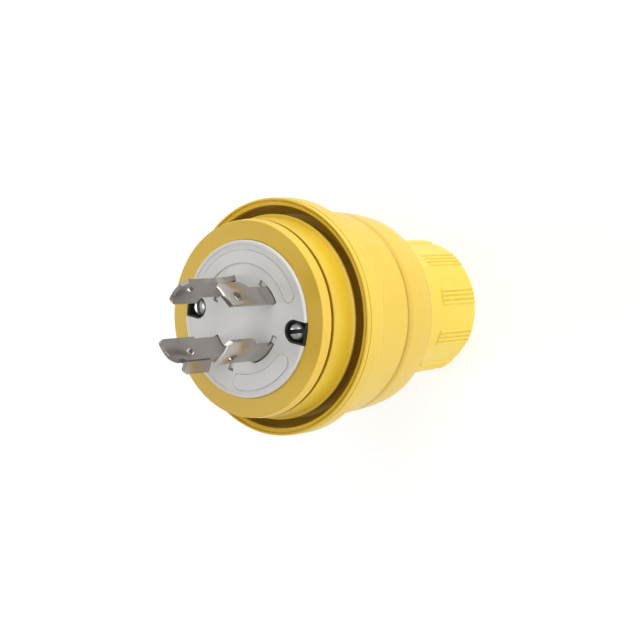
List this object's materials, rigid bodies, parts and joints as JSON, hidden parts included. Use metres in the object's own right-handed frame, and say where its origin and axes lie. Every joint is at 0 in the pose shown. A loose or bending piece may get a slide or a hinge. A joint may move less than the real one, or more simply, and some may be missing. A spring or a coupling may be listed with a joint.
{
  "type": "locking power plug",
  "caption": "Round watertight power plug with curved locking blades on a light insert, a yellow soft body with a skirt flange, and a ribbed gland nut for the cord.",
  "frame": {"origin": "centre of the gland nut's flat rear face", "axes": "+Z along the plug's axis towards the blades, +X to the right and +Y up when the blade face is looked at squarely"},
  "size_m": [0.0692, 0.0692, 0.1115],
  "materials": {
    "yellow_elastomer": "smooth semi-matt moulded elastomer",
    "yellow_nylon": "smooth moulded nylon",
    "light_grey_nylon": "fine matt moulding",
    "nickel_plated_brass": "bright plated, slightly brushed",
    "steel_screw": "zinc-plated steel",
    "brass": "plain brass",
    "green_screw": "green dyed steel screw",
    "dark_rubber": "matt rubber",
    "washer_nylon": "natural nylon"
  },
  "bodies": {
    "root": {"nose_ring": "yellow_elastomer", "housing_front": "yellow_elastomer", "housing_rear": "yellow_elastomer", "shell_oring": "dark_rubber", "insert_face": "light_grey_nylon", "insert_base": "light_grey_nylon", "insert_gasket": "dark_rubber", "blade_upper_right": "nickel_plated_brass", "blade_upper_left": "nickel_plated_brass", "blade_lower_right": "nickel_plated_brass", "blade_ground": "nickel_plated_brass", "terminal_clamp_1": "brass", "terminal_clamp_2": "brass", "terminal_clamp_3": "brass", "terminal_clamp_4": "brass", "terminal_screw_1": "brass", "terminal_screw_2": "brass", "terminal_screw_3": "green_screw", "terminal_screw_4": "steel_screw", "face_screw_left": "steel_screw", "face_screw_right": "steel_screw", "screw_seal_left": "dark_rubber", "screw_seal_right": "dark_rubber", "screw_insert_left": "brass", "screw_insert_right": "brass", "cord_bushing": "dark_rubber", "thrust_washer": "washer_nylon", "gland_nut": "yellow_nylon"}
  },
  "joints": []
}
